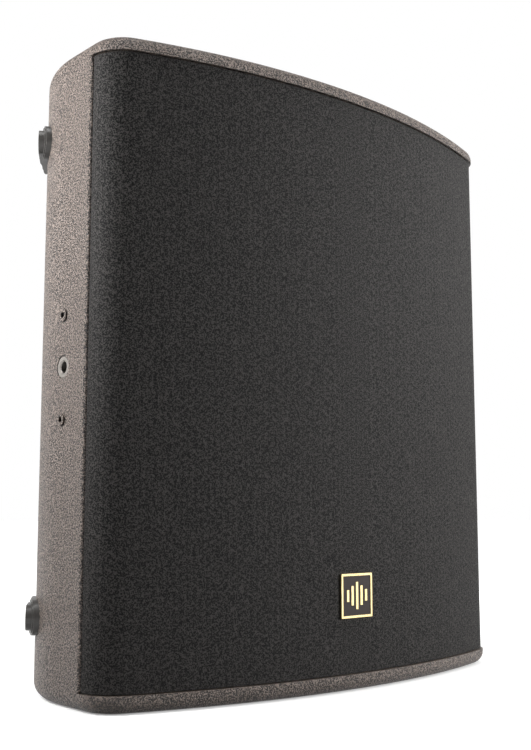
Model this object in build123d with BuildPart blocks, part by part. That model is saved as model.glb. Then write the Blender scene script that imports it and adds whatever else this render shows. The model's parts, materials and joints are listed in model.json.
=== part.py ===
"""PA speaker cabinet: a 12 inch coaxial two-way in a plywood enclosure with a bowed, cloth-covered grille.

Millimetres, +Z up, +Y towards the back. The origin is the middle of the base, so the front is on the -Y side.
"""
import os
from math import asin, cos, degrees, pi, radians, sin, sqrt, tan

from build123d import *

os.makedirs("parts", exist_ok=True)

# ---------------------------------------------------------------- driving dimensions
width = 428.0             # over the two flat side strips
height = 490.0
depth = 360.0             # bow of the front to the back panel
board_t = 13.0            # birch plywood of the outer boards
baffle_t = 18.0
front_radius = 600.0      # bow of the front, about a vertical axis
corner_radius = 31.0      # front corners, seen from above
strip_length = 87.5       # square front corner to the crease between strip and wedge panel
wedge_angle = 32.0        # wedge panels against the side strips
crease_radius = 110.0     # the side curves gently into the wedge panel
rear_radius = 14.0
edge_radius = 11.0        # top and bottom boards, all round

cloth_inset = 2.0         # cloth face below the edge of the top and bottom boards
cloth_t = 1.0
grille_t = 1.5
foam_t = 8.0
grille_gap = 0.5          # grille to top and bottom boards

driver_z = height / 2
slot_width = 14.0         # bass-reflex slots
slot_height = 400.0
vent_board_t = 9.0
vent_run = 88.0           # length of the vent along the wedge panel

# ---------------------------------------------------------------- places worked out from them
half_width = width / 2
front_y = -depth / 2
back_y = depth / 2
bow_centre_y = front_y + front_radius
square_corner_y = bow_centre_y - sqrt(front_radius**2 - half_width**2)
crease_y = square_corner_y + strip_length
wedge_tan = tan(radians(wedge_angle))
crease_tan = tan(radians(wedge_angle / 2))
rear_tan = tan(radians((90 - wedge_angle) / 2))
rear_half = half_width - (back_y - crease_y) * wedge_tan
corner_centre_x = half_width - corner_radius
strip_front_y = bow_centre_y - sqrt((front_radius - corner_radius) ** 2 - corner_centre_x**2)
inner_bottom = board_t
inner_top = height - board_t
inner_height = inner_top - inner_bottom
baffle_back_y = strip_front_y + baffle_t
grille_back_inset = cloth_inset + cloth_t + grille_t

wedge_normal = Vector(cos(radians(wedge_angle)), sin(radians(wedge_angle)), 0)
wedge_run = Vector(-sin(radians(wedge_angle)), cos(radians(wedge_angle)), 0)
driver_axis = Axis((0, 0, driver_z), (0, 1, 0))


def save(builder, name):
    """Label a finished piece and write it as its own file."""
    builder.part.label = name
    export_step(builder.part, f"parts/{name}.step")


def mirrored(vector, side):
    """The same vector on the right (side 1) or on the left (side -1)."""
    return Vector(vector.X * side, vector.Y, vector.Z)


# ---------------------------------------------------------------- plan shapes
def outline(inset):
    """The cabinet's outline seen from above, pulled in by inset all round."""
    half = half_width - inset
    radius = front_radius - inset
    corner = (half, bow_centre_y - sqrt(radius**2 - half**2))
    crease = (half, crease_y - inset * crease_tan)
    rear = (rear_half - inset * rear_tan, back_y - inset)
    with BuildSketch() as sketch:
        with BuildLine():
            ThreePointArc((-corner[0], corner[1]), (0, front_y + inset), corner)
            Polyline(corner, crease, rear, (-rear[0], rear[1]), (-crease[0], crease[1]),
                     (-corner[0], corner[1]))
        make_face()
        fillet(sketch.vertices().group_by(Axis.Y)[-1], max(rear_radius - inset, 1.0))
        creases = sketch.vertices().filter_by_position(Axis.Y, crease[1] - 0.1, crease[1] + 0.1)
        fillet(creases, crease_radius - inset)
        fillet(sketch.vertices().group_by(Axis.Y)[0], corner_radius - inset)
    return sketch.sketch


def bisector(angle, corner, reach):
    """A point on the mitre line through an outer corner, reach outside it."""
    return (corner[0] + reach * cos(radians(angle)), corner[1] + reach * sin(radians(angle)))


def board_region(name, side):
    """The area that one wall board takes from the ring of wall boards, bounded by its mitres."""
    crease = (half_width, crease_y)
    rear = (rear_half, back_y)
    outside, inside = 30.0, -30.0
    crease_mitre = [bisector(wedge_angle / 2, crease, reach) for reach in (outside, inside)]
    rear_mitre = [bisector((90 + wedge_angle) / 2, rear, reach) for reach in (outside, inside)]
    if name == "strip":
        points = [(half_width + outside, strip_front_y), crease_mitre[0], crease_mitre[1],
                  (half_width + inside, strip_front_y)]
    elif name == "wedge":
        points = [crease_mitre[0], rear_mitre[0], rear_mitre[1], crease_mitre[1]]
    else:
        points = [rear_mitre[0], (-rear_mitre[0][0], rear_mitre[0][1]),
                  (-rear_mitre[1][0], rear_mitre[1][1]), rear_mitre[1]]
    with BuildSketch() as sketch:
        with BuildLine():
            Polyline(*[(x * side, y) for x, y in points], close=True)
        make_face()
    return sketch.sketch


def wall_board(name, side=1):
    """One wall board's cross-section: the ring of walls inside that board's mitres."""
    with BuildSketch() as sketch:
        add(outline(0))
        add(outline(board_t), mode=Mode.SUBTRACT)
        add(board_region(name, side), mode=Mode.INTERSECT)
    return sketch.sketch


def front_band(outer_inset, inner_inset):
    """A curved sheet's cross-section: the outline between two insets, in front of the side strips."""
    with BuildSketch() as sketch:
        add(outline(outer_inset))
        add(outline(inner_inset), mode=Mode.SUBTRACT)
        with Locations((0, strip_front_y)):
            Rectangle(2 * width, depth, align=(Align.CENTER, Align.MAX), mode=Mode.INTERSECT)
    return sketch.sketch


def inner_trapezium(wall_gap, front, back_gap):
    """The room inside the walls, from the plane y = front, kept wall_gap and back_gap off the boards."""
    inset = board_t + wall_gap
    half = half_width - inset
    crease = crease_y - inset * crease_tan
    back = back_y - board_t - back_gap
    rear = half - (back - crease) * wedge_tan
    with BuildSketch() as sketch:
        with BuildLine():
            Polyline((-half, front), (half, front), (half, crease), (rear, back), (-rear, back),
                     (-half, crease), close=True)
        make_face()
    return sketch.sketch


# ---------------------------------------------------------------- rigging points on the side strips
rigging_inset = 31.5      # behind the strip's front edge
rigging_y = strip_front_y + rigging_inset
rigging_z = height / 2
insert_bore_r = 4.3       # tapping size of M10
insert_body_r = 6.5
insert_flange_r = 7.9
insert_flange_t = 1.2
insert_recess = 0.4       # flange below the strip's face
insert_gap = 0.6          # round the flange
insert_lead_in = 1.0
insert_length = 17.0
pocket_depth = 16.0       # right through the board, where it starts to turn too
bush_spacing = 78.0
bush_bore_r = 2.2
bush_lead_in = 0.2
bush_body_r = 3.5
bush_flange_r = 4.7
bush_stand = 1.4          # flange above the strip's face
bush_length = board_t + bush_stand
bush_sink = 0.3           # spot face under the flange
bush_levels = (rigging_z - bush_spacing / 2, rigging_z + bush_spacing / 2)
strip_front_fillet = 2.5


def strip_plane(side, z):
    """Plane on a side strip's outer face, with its normal pointing out of the cabinet."""
    return Plane(origin=(side * half_width, rigging_y, z), x_dir=(0, 1, 0), z_dir=(side, 0, 0))


def flanged_sleeve(plane, bore_r, body_r, flange_r, flange_t, length, lead_in):
    """A flanged sleeve, driven into a board from outside. The plane is its flange's outer face."""
    with BuildPart() as sleeve:
        with BuildSketch(plane):
            Circle(flange_r)
        extrude(amount=-flange_t)
        with BuildSketch(plane.offset(-flange_t)):
            Circle(body_r)
        extrude(amount=flange_t - length)
        with BuildSketch(plane):
            Circle(bore_r)
        extrude(amount=-length, mode=Mode.SUBTRACT)
        rims = sleeve.edges().filter_by(GeomType.CIRCLE).filter_by(lambda e: abs(e.radius - bore_r) < 0.01)
        chamfer(rims.sort_by(Axis((0, 0, 0), plane.z_dir))[-1], lead_in)
    return sleeve.part


def sleeve_pocket(plane, body_r, flange_r, depth):
    """The stepped hole for a flanged sleeve, with its wide part sunk to a depth."""
    with BuildPart() as pocket:
        with BuildSketch(plane):
            Circle(body_r)
        extrude(amount=-pocket_depth)
        with BuildSketch(plane):
            Circle(flange_r)
        extrude(amount=-depth)
    return pocket.part


for side, side_name in ((-1, "left"), (1, "right")):
    with BuildPart() as side_strip:
        with BuildSketch(Plane.XY.offset(inner_bottom)):
            add(wall_board("strip", side))
        extrude(amount=inner_height)
        front_edges = side_strip.edges().filter_by(Axis.Z).filter_by_position(
            Axis.Y, strip_front_y - 0.1, strip_front_y + 0.1)
        fillet(front_edges.sort_by(Axis.X)[-1 if side > 0 else 0], strip_front_fillet)
        add(sleeve_pocket(strip_plane(side, rigging_z), insert_body_r, insert_flange_r + insert_gap,
                          insert_recess + insert_flange_t), mode=Mode.SUBTRACT)
        for z in bush_levels:
            add(sleeve_pocket(strip_plane(side, z), bush_body_r, bush_flange_r, bush_sink),
                mode=Mode.SUBTRACT)
    save(side_strip, f"side_strip_{side_name}")

    with BuildPart() as rigging_insert:
        add(flanged_sleeve(strip_plane(side, rigging_z).offset(-insert_recess), insert_bore_r,
                           insert_body_r, insert_flange_r, insert_flange_t, insert_length, insert_lead_in))
    save(rigging_insert, f"rigging_insert_{side_name}")

with BuildPart() as locating_bushes:
    for side in (-1, 1):
        for z in bush_levels:
            add(flanged_sleeve(strip_plane(side, z).offset(bush_stand), bush_bore_r, bush_body_r,
                               bush_flange_r, bush_sink + bush_stand, bush_length, bush_lead_in))
save(locating_bushes, "locating_bushes")

# ---------------------------------------------------------------- wedge panels, their feet and the handle
handle_run = 190.0        # centre, measured along the wedge panel from the crease
handle_opening = (98.0, 164.0)
handle_flange = (122.0, 188.0)
handle_flange_t = 3.0
handle_wall = 3.0
handle_depth = 46.0
grip_size = (24.0, 20.0)
grip_depth = 15.0         # grip centre below the panel's face
handle_clearance = 0.2
handle_corner_r = 9.0     # of the opening
handle_screw_inset = 6.5
handle_screw_z = 66.0
grip_corner_r = 8.0

foot_base_w = 26.6
foot_step_w = 23.4
foot_pad_w = 19.2
foot_length = 37.0        # between the centres of its round ends
foot_base_t = 3.9         # the base follows the cabinet round the crease
foot_step_t = 0.8
foot_pad_h = 6.2          # the pad is flat, this far outside the wedge panel's plane
foot_toe = 22.0           # the pad slopes down from here, measured from the high end's centre
foot_heel_h = 0.8         # height of the slope's low end
foot_seat_h = 1.8         # the screw heads' seats, outside the wedge panel's plane
foot_root = 9.0           # depth from which the foot's layers start, before the cabinet is cut out
foot_levels = (59.2, 430.8)
front_foot_run = 13.3
rear_foot_gap = 34.0      # the rear feet's rear round centres to the back panel, along the wedge panel
rear_foot_run = (back_y - crease_y) / cos(radians(wedge_angle)) - rear_foot_gap
screw_r = 2.4
shank_r = screw_r - 0.1
pan_head_r = 4.2
pan_head_t = 1.4
pan_head_fillet = 0.8
pan_pocket_r = 4.6
foot_screw_length = 11.0
foot_screw_hole = 9.4     # below the wedge panel's plane


def wedge_plane(side, run, z):
    """Plane on a wedge panel: X runs towards the back along the panel and the normal points out."""
    point = Vector(half_width, crease_y, z) + wedge_run * run
    return Plane(origin=mirrored(point, side), x_dir=mirrored(wedge_run, side),
                 z_dir=mirrored(wedge_normal, side))


def foot_screw_places():
    """The two screws of a foot, along its length from the front round end's centre."""
    return (0.0, foot_length)


def cabinet_slab(z, grow):
    """The cabinet's outline, grown by a margin, over the height of a foot."""
    with BuildPart() as slab:
        with BuildSketch(Plane.XY.offset(z - foot_base_w)):
            add(outline(-grow))
        extrude(amount=2 * foot_base_w)
    return slab.part


def foot_block(plane, block_width, top):
    """A stadium-shaped block from inside the cabinet up to a height above the plane."""
    with BuildPart() as block:
        with BuildSketch(plane.offset(-foot_root)):
            with Locations((foot_length / 2, 0)):
                SlotCenterToCenter(foot_length, block_width)
        extrude(amount=foot_root + top)
    return block.part


def foot_layer(plane, layer_width, grow, z):
    """One layer of a foot's base, which follows the cabinet's side at a distance."""
    with BuildPart() as layer:
        add(foot_block(plane, layer_width, foot_pad_h))
        add(cabinet_slab(z, grow), mode=Mode.INTERSECT)
    return layer.part


def foot(side, run, heel, z):
    """A stepped rubber skid foot. heel is 1 where its low end points back, or -1 for the rear feet."""
    front_end = run if heel > 0 else run - foot_length
    plane = wedge_plane(side, front_end, z)
    toe, tip = foot_toe, foot_length + foot_base_w / 2 + 1
    if heel < 0:
        toe, tip = foot_length - toe, foot_length - tip
    with BuildPart() as rubber:
        add(foot_layer(plane, foot_base_w, foot_base_t, z))
        add(foot_layer(plane, foot_step_w, foot_base_t + foot_step_t, z))
        add(foot_block(plane, foot_pad_w, foot_pad_h))
        with BuildSketch(Plane(origin=plane.origin, x_dir=plane.x_dir, z_dir=(0, 0, -side))):
            with BuildLine():
                Polyline((toe, foot_pad_h), (tip, foot_pad_h), (tip, foot_heel_h), close=True)
            make_face()
        extrude(amount=foot_base_w, both=True, mode=Mode.SUBTRACT)
        with BuildSketch(plane.offset(foot_seat_h)):
            with Locations(*[(place, 0) for place in foot_screw_places()]):
                Circle(pan_pocket_r)
        extrude(amount=foot_pad_h, mode=Mode.SUBTRACT)
        with BuildSketch(plane.offset(foot_seat_h)):
            with Locations(*[(place, 0) for place in foot_screw_places()]):
                Circle(screw_r)
        extrude(amount=-foot_seat_h - foot_root, mode=Mode.SUBTRACT)
        add(cabinet_slab(z, 0), mode=Mode.SUBTRACT)
    return rubber.part


def foot_screw(plane):
    """A pan-head wood screw in a foot's pocket."""
    with BuildPart() as screw:
        with BuildSketch(plane.offset(foot_seat_h)):
            Circle(pan_head_r)
        extrude(amount=pan_head_t)
        fillet(screw.edges().sort_by(Axis((0, 0, 0), plane.z_dir))[-1], pan_head_fillet)
        with BuildSketch(plane.offset(foot_seat_h)):
            Circle(shank_r)
        extrude(amount=-foot_screw_length)
    return screw.part


def foot_places():
    """Run along the panel, heel direction and height of each foot on one side."""
    return [(run, heel, z) for run, heel in ((front_foot_run, 1), (rear_foot_run, -1)) for z in foot_levels]


def panel_cutout(plane, size, amount, radius):
    """A rounded-rectangle prism that cuts a board."""
    with BuildPart() as cutter:
        with BuildSketch(plane):
            RectangleRounded(size[0], size[1], radius)
        extrude(amount=amount, both=True)
    return cutter.part


handle_plane = wedge_plane(1, handle_run, driver_z)
handle_cut = tuple(side + 2 * handle_wall + 2 * handle_clearance for side in handle_opening)

for side, side_name in ((-1, "left"), (1, "right")):
    with BuildPart() as wedge_panel:
        with BuildSketch(Plane.XY.offset(inner_bottom)):
            add(wall_board("wedge", side))
        extrude(amount=inner_height)
        if side > 0:
            add(panel_cutout(handle_plane, handle_cut, 2 * board_t, handle_corner_r + handle_wall),
                mode=Mode.SUBTRACT)
        for run, heel, z in foot_places():
            front_end = run if heel > 0 else run - foot_length
            with BuildSketch(wedge_plane(side, front_end, z)):
                with Locations(*[(place, 0) for place in foot_screw_places()]):
                    Circle(screw_r)
            extrude(amount=-foot_screw_hole, mode=Mode.SUBTRACT)
    save(wedge_panel, f"wedge_panel_{side_name}")

    with BuildPart() as wedge_feet:
        for run, heel, z in foot_places():
            add(foot(side, run, heel, z))
    save(wedge_feet, f"wedge_feet_{side_name}")

with BuildPart() as foot_screws:
    for side in (-1, 1):
        for run, heel, z in foot_places():
            front_end = run if heel > 0 else run - foot_length
            for place in foot_screw_places():
                add(foot_screw(wedge_plane(side, front_end + place, z)))
save(foot_screws, "foot_screws")

handle_screw_x = handle_flange[0] / 2 - handle_screw_inset
handle_screw_places = [(x * handle_screw_x, y * handle_screw_z) for x in (-1, 1) for y in (-1, 1)]
head_sink = 1.6           # flat screw heads, below the face that they hold down
flat_head_r = 4.3
flat_head_t = 1.5

with BuildPart() as carry_handle:
    with BuildSketch(handle_plane):
        RectangleRounded(*handle_flange, 20)
    extrude(amount=handle_flange_t)
    fillet(carry_handle.faces().sort_by(Axis((0, 0, 0), tuple(wedge_normal)))[-1].edges(), 1.4)
    with BuildSketch(handle_plane):
        RectangleRounded(handle_opening[0] + 2 * handle_wall, handle_opening[1] + 2 * handle_wall,
                         handle_corner_r + handle_wall)
    extrude(amount=-handle_depth - handle_wall)
    with BuildSketch(handle_plane.offset(handle_flange_t)):
        RectangleRounded(*handle_opening, handle_corner_r)
    extrude(amount=-handle_depth - handle_flange_t, mode=Mode.SUBTRACT)
    grip_foot = handle_plane.offset(-grip_depth).origin - Vector(0, 0, handle_opening[1] / 2 + 1)
    with BuildSketch(Plane(origin=grip_foot, x_dir=tuple(wedge_run), z_dir=(0, 0, 1))):
        RectangleRounded(*grip_size, grip_corner_r)
    extrude(amount=handle_opening[1] + 2)
    with BuildSketch(handle_plane.offset(handle_flange_t)):
        with Locations(*handle_screw_places):
            Circle(pan_pocket_r)
    extrude(amount=-head_sink, mode=Mode.SUBTRACT)
    with BuildSketch(handle_plane.offset(handle_flange_t)):
        with Locations(*handle_screw_places):
            Circle(screw_r)
    extrude(amount=-handle_flange_t, mode=Mode.SUBTRACT)
save(carry_handle, "carry_handle")

with BuildPart() as handle_screws:
    with BuildSketch(handle_plane.offset(handle_flange_t - head_sink)):
        with Locations(*handle_screw_places):
            Circle(flat_head_r)
    extrude(amount=flat_head_t)
    with BuildSketch(handle_plane.offset(handle_flange_t - head_sink)):
        with Locations(*handle_screw_places):
            Circle(shank_r)
    extrude(amount=head_sink - handle_flange_t)
save(handle_screws, "handle_screws")

# ---------------------------------------------------------------- top and bottom boards, pole socket
pole_y = -24.0
pole_bore_r = 18.0
pole_wall = 5.0
pole_bore_depth = 82.0
pole_flange_r = 43.0
pole_flange_t = 4.0
pole_recess = 0.5
pole_fit = 0.3
pole_lead_in = 1.5
pole_screw_circle = 34.0
pole_pocket_r = 4.4
pole_pocket_depth = 1.8
pole_head_t = 1.6

with BuildPart() as top_panel:
    with BuildSketch(Plane.XY.offset(inner_top)):
        add(outline(0))
    extrude(amount=board_t)
    fillet(top_panel.faces().sort_by(Axis.Z)[-1].edges(), edge_radius)
save(top_panel, "top_panel")

pole_centre = Plane(origin=(0, pole_y, 0), x_dir=(1, 0, 0), z_dir=(0, 0, 1))

with BuildPart() as bottom_panel:
    with BuildSketch(Plane.XY):
        add(outline(0))
    extrude(amount=board_t)
    fillet(bottom_panel.faces().sort_by(Axis.Z)[0].edges(), edge_radius)
    with BuildSketch(pole_centre):
        Circle(pole_flange_r + pole_fit)
    extrude(amount=pole_flange_t + pole_recess, mode=Mode.SUBTRACT)
    with BuildSketch(pole_centre):
        Circle(pole_bore_r + pole_wall + pole_fit)
    extrude(amount=board_t, mode=Mode.SUBTRACT)
save(bottom_panel, "bottom_panel")

with BuildPart() as pole_cup:
    with BuildSketch(pole_centre.offset(pole_recess)):
        Circle(pole_flange_r)
    extrude(amount=pole_flange_t)
    with BuildSketch(pole_centre.offset(pole_recess)):
        Circle(pole_bore_r + pole_wall)
    extrude(amount=pole_bore_depth + pole_wall)
    with BuildSketch(pole_centre.offset(pole_recess)):
        Circle(pole_bore_r)
    extrude(amount=pole_bore_depth, mode=Mode.SUBTRACT)
    bore_rims = pole_cup.edges().filter_by(GeomType.CIRCLE).filter_by(
        lambda e: abs(e.radius - pole_bore_r) < 0.01)
    chamfer(bore_rims.sort_by(Axis.Z)[0], pole_lead_in)
    with BuildSketch(pole_centre.offset(pole_recess)):
        with PolarLocations(pole_screw_circle, 4, start_angle=45):
            Circle(pole_pocket_r)
    extrude(amount=pole_pocket_depth, mode=Mode.SUBTRACT)
    with BuildSketch(pole_centre.offset(pole_recess)):
        with PolarLocations(pole_screw_circle, 4, start_angle=45):
            Circle(screw_r)
    extrude(amount=pole_flange_t, mode=Mode.SUBTRACT)
save(pole_cup, "pole_cup")

with BuildPart() as pole_cup_screws:
    with BuildSketch(pole_centre.offset(pole_recess + pole_pocket_depth - pole_head_t)):
        with PolarLocations(pole_screw_circle, 4, start_angle=45):
            Circle(pan_head_r)
    extrude(amount=pole_head_t)
    with BuildSketch(pole_centre.offset(pole_recess + pole_pocket_depth)):
        with PolarLocations(pole_screw_circle, 4, start_angle=45):
            Circle(shank_r)
    extrude(amount=pole_flange_t - pole_pocket_depth)
save(pole_cup_screws, "pole_cup_screws")

# ---------------------------------------------------------------- back board and connector plate
plate_z = 140.0
plate_size = (84.0, 124.0)
plate_t = 2.0
plate_fit = 0.3
plate_cutout = (68.0, 106.0)
plate_corner_r = 3.0
cutout_corner_r = 4.0
plate_edge_fillet = 0.5
plate_screw_inset = 5.0
plate_screw_x = plate_size[0] / 2 - plate_screw_inset
plate_screw_z = plate_size[1] / 2 - plate_screw_inset
socket_pitch = 50.0
socket_r = 12.0
socket_cavity_r = 10.0
socket_cavity_depth = 16.0
socket_flange = (31.0, 36.0)
socket_flange_t = 2.5
socket_length = 32.0
socket_screw_offset = (12.0, 14.0)
socket_fit = 0.2
key_size = (2.4, 3.0)     # the three keyways of a socket's mouth
key_depth = 9.0
contact_circle = 5.5
contact_size = (1.6, 4.0)
contact_depth = 5.0
connector_screw_r = 1.7
connector_screw_length = 5.5
connector_screw_sink = 0.3

plate_plane = Plane(origin=(0, back_y, plate_z), x_dir=(-1, 0, 0), z_dir=(0, 1, 0))
plate_corners = [(x * plate_screw_x, z * plate_screw_z) for x in (-1, 1) for z in (-1, 1)]
socket_centres = {"input_socket": socket_pitch / 2, "link_socket": -socket_pitch / 2}
socket_screws = [(sign * socket_screw_offset[0], z + sign * socket_screw_offset[1])
                 for z in socket_centres.values() for sign in (-1, 1)]

with BuildPart() as back_panel:
    with BuildSketch(Plane.XY.offset(inner_bottom)):
        add(wall_board("back"))
    extrude(amount=inner_height)
    with BuildSketch(plate_plane):
        RectangleRounded(plate_size[0] + 2 * plate_fit, plate_size[1] + 2 * plate_fit, plate_corner_r)
    extrude(amount=-plate_t, mode=Mode.SUBTRACT)
    with BuildSketch(plate_plane):
        RectangleRounded(*plate_cutout, cutout_corner_r)
    extrude(amount=-board_t, mode=Mode.SUBTRACT)
    with BuildSketch(plate_plane):
        with Locations(*plate_corners):
            Circle(connector_screw_r)
    extrude(amount=-connector_screw_length - 0.5, mode=Mode.SUBTRACT)
save(back_panel, "back_panel")

with BuildPart() as connector_plate:
    with BuildSketch(plate_plane):
        RectangleRounded(*plate_size, plate_corner_r)
        with Locations(*[(0, z) for z in socket_centres.values()]):
            Circle(socket_r + socket_fit, mode=Mode.SUBTRACT)
        with Locations(*plate_corners, *socket_screws):
            Circle(connector_screw_r, mode=Mode.SUBTRACT)
    extrude(amount=-plate_t)
    fillet(connector_plate.faces().sort_by(Axis.Y)[-1].outer_wire().edges(), plate_edge_fillet)
save(connector_plate, "connector_plate")

for socket_name, z in socket_centres.items():
    with BuildPart() as socket:
        with BuildSketch(plate_plane.offset(-plate_t)):
            with Locations((0, z)):
                RectangleRounded(*socket_flange, cutout_corner_r)
            with Locations(*[place for place in socket_screws if abs(place[1] - z) < socket_pitch / 2]):
                Circle(connector_screw_r, mode=Mode.SUBTRACT)
        extrude(amount=-socket_flange_t)
        with BuildSketch(plate_plane):
            with Locations((0, z)):
                Circle(socket_r)
        extrude(amount=-socket_length)
        with BuildSketch(plate_plane):
            with Locations((0, z)):
                Circle(socket_cavity_r)
        extrude(amount=-socket_cavity_depth, mode=Mode.SUBTRACT)
        with BuildSketch(plate_plane):
            with Locations((0, z)):
                with PolarLocations(socket_cavity_r, 3, start_angle=90):
                    Rectangle(*key_size)
        extrude(amount=-key_depth, mode=Mode.SUBTRACT)
        with BuildSketch(plate_plane.offset(-socket_cavity_depth)):
            with Locations((0, z)):
                with PolarLocations(contact_circle, 4, start_angle=45):
                    Rectangle(*contact_size)
        extrude(amount=-contact_depth, mode=Mode.SUBTRACT)
        chamfer(socket.faces().sort_by(Axis.Y)[-1].outer_wire().edges(), plate_edge_fillet)
    save(socket, socket_name)

with BuildPart() as connector_screws:
    with BuildSketch(plate_plane.offset(-connector_screw_sink)):
        with Locations(*plate_corners, *socket_screws):
            Circle(connector_screw_r - 0.05)
    extrude(amount=-connector_screw_length)
save(connector_screws, "connector_screws")

# ---------------------------------------------------------------- baffle, vents and braces
driver_cutout_r = 142.0
driver_screw_circle = 147.5
driver_screw_count = 8
driver_screw_r = 2.5
driver_screw_start = 22.5
brace_t = 12.0
brace_levels = {"lower_brace": 66.0, "upper_brace": 412.0}
brace_window = (190.0, 150.0)
brace_window_r = 30.0
brace_window_y = -4.0
lining_t = 20.0
lining_gap = 4.0
lining_pole_r = 30.0      # room for the pole cup
rail_h = 18.0
rail_back_inset = 26.0
magnet_places = (-120.0, 0.0, 120.0)
magnet_r = 4.8
magnet_t = 6.0
magnet_hole_r = 5.0

baffle_plane = Plane(origin=(0, strip_front_y, driver_z), x_dir=(1, 0, 0), z_dir=(0, -1, 0))

with BuildPart() as baffle:
    with BuildSketch(baffle_plane):
        Rectangle(width - 2 * board_t, inner_height)
        Circle(driver_cutout_r, mode=Mode.SUBTRACT)
        with PolarLocations(driver_screw_circle, driver_screw_count, start_angle=driver_screw_start):
            Circle(driver_screw_r, mode=Mode.SUBTRACT)
        with Locations((-half_width + board_t, 0), (half_width - board_t, 0)):
            Rectangle(2 * slot_width, slot_height, mode=Mode.SUBTRACT)
    extrude(amount=-baffle_t)
save(baffle, "baffle")


def vent_board(side):
    """A bent duct board that runs slot_width inside the strip and the wedge panel."""
    corners = []
    for inset in (board_t + slot_width, board_t + slot_width + vent_board_t):
        x = half_width - inset
        y = crease_y - inset * crease_tan
        end = Vector(x, y, 0) + wedge_run * vent_run
        corners.append([(x, baffle_back_y), (x, y), (end.X, end.Y)])
    points = corners[0] + corners[1][::-1]
    with BuildPart() as board:
        with BuildSketch(Plane.XY.offset(inner_bottom)):
            with BuildLine():
                Polyline(*[(x * side, y) for x, y in points], close=True)
            make_face()
        extrude(amount=inner_height)
    return board


for side, side_name in ((-1, "left"), (1, "right")):
    save(vent_board(side), f"vent_board_{side_name}")

for brace_name, level in brace_levels.items():
    with BuildPart() as brace:
        with BuildSketch(Plane.XY.offset(level)):
            add(inner_trapezium(slot_width + vent_board_t, baffle_back_y, 0.0))
            with Locations((0, brace_window_y)):
                RectangleRounded(*brace_window, brace_window_r, mode=Mode.SUBTRACT)
        extrude(amount=brace_t)
    save(brace, brace_name)

with BuildPart() as damping_lining:
    for level, pole_hole in ((inner_bottom, True), (inner_top - lining_t, False)):
        with BuildSketch(Plane.XY.offset(level)):
            add(inner_trapezium(slot_width + vent_board_t + lining_gap, baffle_back_y + lining_gap,
                                lining_gap))
            if pole_hole:
                with Locations((0, pole_y)):
                    Circle(lining_pole_r, mode=Mode.SUBTRACT)
        extrude(amount=lining_t)
save(damping_lining, "damping_lining")

for rail_name, level in (("grille_rail_bottom", inner_bottom), ("grille_rail_top", inner_top - rail_h)):
    with BuildPart() as rail:
        with BuildSketch(Plane.XY.offset(level)):
            add(front_band(grille_back_inset, rail_back_inset))
        extrude(amount=rail_h)
        with BuildSketch(Plane.XZ.offset(-bow_centre_y)):
            with Locations(*[(x, level + rail_h / 2) for x in magnet_places]):
                Circle(magnet_hole_r)
        extrude(amount=front_radius - grille_back_inset, mode=Mode.SUBTRACT)
    save(rail, rail_name)

# ---------------------------------------------------------------- grille, foam, cloth and badge
grille_bottom = inner_bottom + grille_gap
grille_height = inner_height - 2 * grille_gap

with BuildPart() as grille:
    with BuildSketch(Plane.XY.offset(grille_bottom)):
        add(front_band(cloth_inset + cloth_t, grille_back_inset))
    extrude(amount=grille_height)
save(grille, "grille")

with BuildPart() as grille_cloth:
    with BuildSketch(Plane.XY.offset(grille_bottom)):
        add(front_band(cloth_inset, cloth_inset + cloth_t))
    extrude(amount=grille_height)
save(grille_cloth, "grille_cloth")

with BuildPart() as grille_foam:
    with BuildSketch(Plane.XY.offset(inner_bottom + rail_h)):
        add(front_band(grille_back_inset, grille_back_inset + foam_t))
    extrude(amount=inner_height - 2 * rail_h)
save(grille_foam, "grille_foam")

with BuildPart() as grille_magnets:
    for level in (inner_bottom + rail_h / 2, inner_top - rail_h / 2):
        for x in magnet_places:
            face_y = bow_centre_y - sqrt((front_radius - grille_back_inset) ** 2 - (abs(x) + magnet_r) ** 2)
            with BuildSketch(Plane(origin=(x, face_y, level), x_dir=(1, 0, 0), z_dir=(0, 1, 0))):
                Circle(magnet_r)
            extrude(amount=magnet_t)
save(grille_magnets, "grille_magnets")

badge_size = 34.0
badge_z = 73.2
badge_rim = 1.7
badge_base_t = 0.9
badge_relief = 0.8
badge_back_y = front_y + cloth_inset
badge_bars = (9.0, 15.0, 21.0, 15.0, 9.0)   # heights of the level-meter bars
badge_bar_w = 2.4
badge_bar_pitch = 5.0

badge_plane = Plane(origin=(0, badge_back_y, badge_z), x_dir=(1, 0, 0), z_dir=(0, -1, 0))


def badge_motif():
    """Five upright bars, like a level meter."""
    with BuildSketch() as sketch:
        for index, bar in enumerate(badge_bars):
            with Locations(((index - 2) * badge_bar_pitch, 0)):
                Rectangle(badge_bar_w, bar)
    return sketch.sketch


with BuildPart() as badge_plate:
    with BuildSketch(badge_plane):
        Rectangle(badge_size, badge_size)
    extrude(amount=badge_base_t)
    with BuildSketch(badge_plane.offset(badge_base_t)):
        Rectangle(badge_size, badge_size)
        Rectangle(badge_size - 2 * badge_rim, badge_size - 2 * badge_rim, mode=Mode.SUBTRACT)
        add(badge_motif())
    extrude(amount=badge_relief)
save(badge_plate, "badge_plate")

with BuildPart() as badge_inlay:
    with BuildSketch(badge_plane.offset(badge_base_t)):
        Rectangle(badge_size - 2 * badge_rim, badge_size - 2 * badge_rim)
        add(badge_motif(), mode=Mode.SUBTRACT)
    extrude(amount=badge_relief / 2)
save(badge_inlay, "badge_inlay")

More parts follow.
